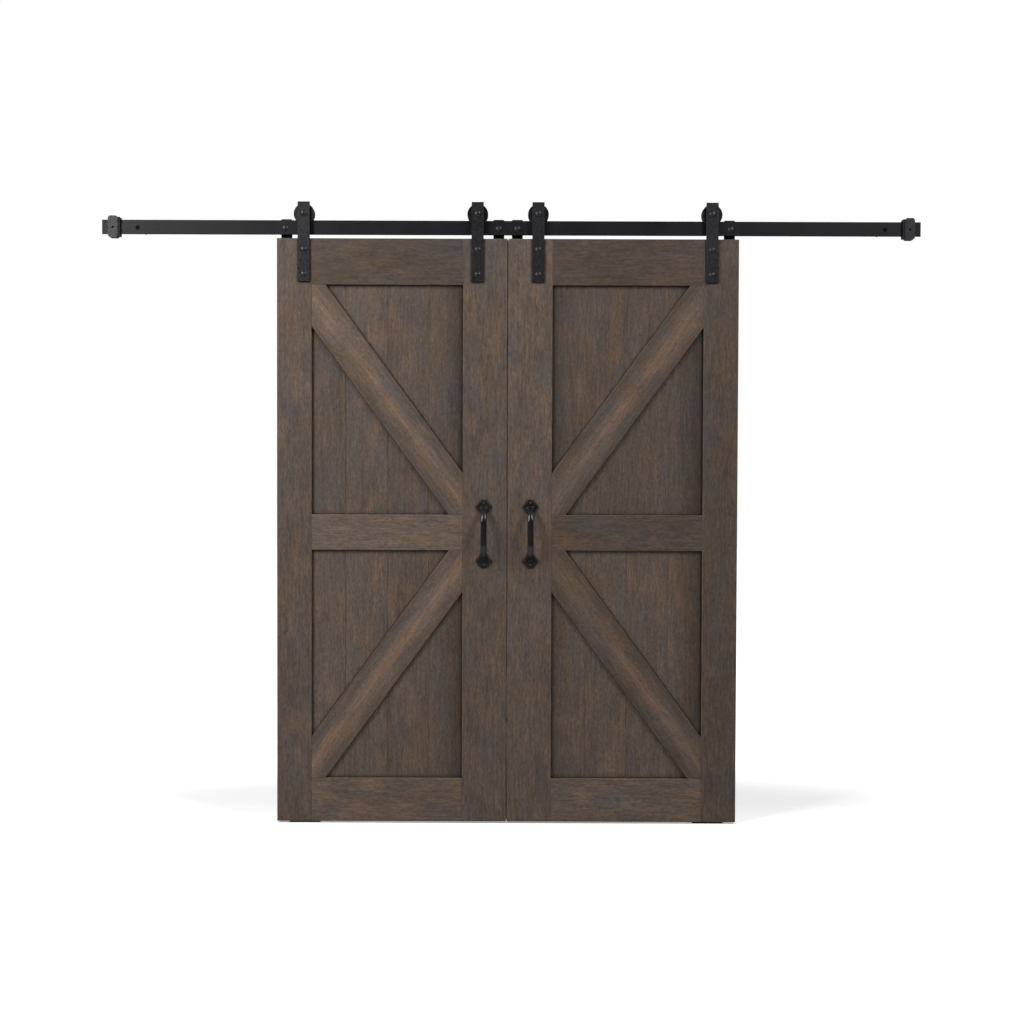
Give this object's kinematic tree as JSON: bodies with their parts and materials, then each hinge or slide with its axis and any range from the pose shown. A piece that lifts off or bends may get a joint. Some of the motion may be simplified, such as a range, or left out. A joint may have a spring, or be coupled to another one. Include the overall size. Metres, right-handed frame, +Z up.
{
  "type": "double sliding door",
  "caption": "Pair of K-braced wooden sliding barn doors hung by grooved rollers on a flat black wall rail, with strap hangers, end stops, floor guides and pull handles.",
  "frame": {"origin": "on the wall, in the middle of the line of wall bolts that hold the rail", "axes": "+X along the rail to the viewer's right, +Y into the wall, +Z up"},
  "size_m": [2.988, 0.165, 2.2715],
  "materials": {
    "frame_wood": "weathered grey-brown stain",
    "board_wood": "weathered grey-brown stain",
    "brace_wood": "weathered grey-brown stain",
    "black_steel": "textured black powder coat",
    "black_fasteners": "black oxide",
    "black_wheel": "black, turned",
    "bearing_steel": "ground",
    "cast_iron_handle": "glossy black paint",
    "black_rubber": "matte"
  },
  "bodies": {
    "track": {"rail_left": "black_steel", "rail_right": "black_steel", "rail_joiner": "black_steel", "inner_bracket_left": "black_steel", "inner_bracket_right": "black_steel", "outer_bracket_left": "black_steel", "outer_bracket_right": "black_steel", "rail_spacers": "black_steel", "rail_bolts": "black_fasteners", "rail_end_screws": "black_fasteners", "end_stop_left": "black_steel", "end_stop_right": "black_steel", "bumper_left": "black_rubber", "bumper_right": "black_rubber", "stop_set_screws": "black_fasteners", "floor_guide_left": "black_steel", "floor_guide_right": "black_steel"},
    "left_leaf": {"left_outer_stile": "frame_wood", "left_inner_stile": "frame_wood", "left_top_rail": "frame_wood", "left_mid_rail": "frame_wood", "left_bottom_rail": "frame_wood", "left_upper_boards": "board_wood", "left_lower_boards": "board_wood", "left_upper_brace": "brace_wood", "left_lower_brace": "brace_wood", "left_outer_strap": "black_steel", "left_inner_strap": "black_steel", "left_axle_bolts": "black_fasteners", "left_axle_nuts": "black_fasteners", "left_strap_bolts": "black_fasteners", "left_sleeve_nuts": "black_fasteners", "left_pull_handle": "cast_iron_handle", "left_handle_screws": "black_fasteners"},
    "left_outer_roller": {"left_outer_wheel": "black_wheel", "left_outer_bearing": "bearing_steel"},
    "left_inner_roller": {"left_inner_wheel": "black_wheel", "left_inner_bearing": "bearing_steel"},
    "right_leaf": {"right_outer_stile": "frame_wood", "right_inner_stile": "frame_wood", "right_top_rail": "frame_wood", "right_mid_rail": "frame_wood", "right_bottom_rail": "frame_wood", "right_upper_boards": "board_wood", "right_lower_boards": "board_wood", "right_upper_brace": "brace_wood", "right_lower_brace": "brace_wood", "right_outer_strap": "black_steel", "right_inner_strap": "black_steel", "right_axle_bolts": "black_fasteners", "right_axle_nuts": "black_fasteners", "right_strap_bolts": "black_fasteners", "right_sleeve_nuts": "black_fasteners", "right_pull_handle": "cast_iron_handle", "right_handle_screws": "black_fasteners"},
    "right_outer_roller": {"right_outer_wheel": "black_wheel", "right_outer_bearing": "bearing_steel"},
    "right_inner_roller": {"right_inner_wheel": "black_wheel", "right_inner_bearing": "bearing_steel"}
  },
  "joints": [
    {"name": "left_slide", "type": "slide", "parent": "track", "child": "left_leaf", "axis": [-1, 0, 0], "range_m": [0, 0.635]},
    {"name": "left_outer_roller_turn", "type": "hinge", "parent": "left_leaf", "child": "left_outer_roller", "pos_m": [-0.74355, -0.032, 0.0515], "axis": [0, 1, 0], "continuous": true},
    {"name": "left_inner_roller_turn", "type": "hinge", "parent": "left_leaf", "child": "left_inner_roller", "pos_m": [-0.11055, -0.032, 0.0515], "axis": [0, 1, 0], "continuous": true},
    {"name": "right_slide", "type": "slide", "parent": "track", "child": "right_leaf", "axis": [1, 0, 0], "range_m": [0, 0.659]},
    {"name": "right_outer_roller_turn", "type": "hinge", "parent": "right_leaf", "child": "right_outer_roller", "pos_m": [0.74355, -0.032, 0.0515], "axis": [0, 1, 0], "continuous": true},
    {"name": "right_inner_roller_turn", "type": "hinge", "parent": "right_leaf", "child": "right_inner_roller", "pos_m": [0.11055, -0.032, 0.0515], "axis": [0, 1, 0], "continuous": true}
  ],
  "couplings": [
    {"joint": "left_outer_roller_turn", "follows": "left_slide", "rad_per_m": -45.045},
    {"joint": "left_inner_roller_turn", "follows": "left_slide", "rad_per_m": -45.045},
    {"joint": "right_outer_roller_turn", "follows": "right_slide", "rad_per_m": 45.045},
    {"joint": "right_inner_roller_turn", "follows": "right_slide", "rad_per_m": 45.045}
  ]
}
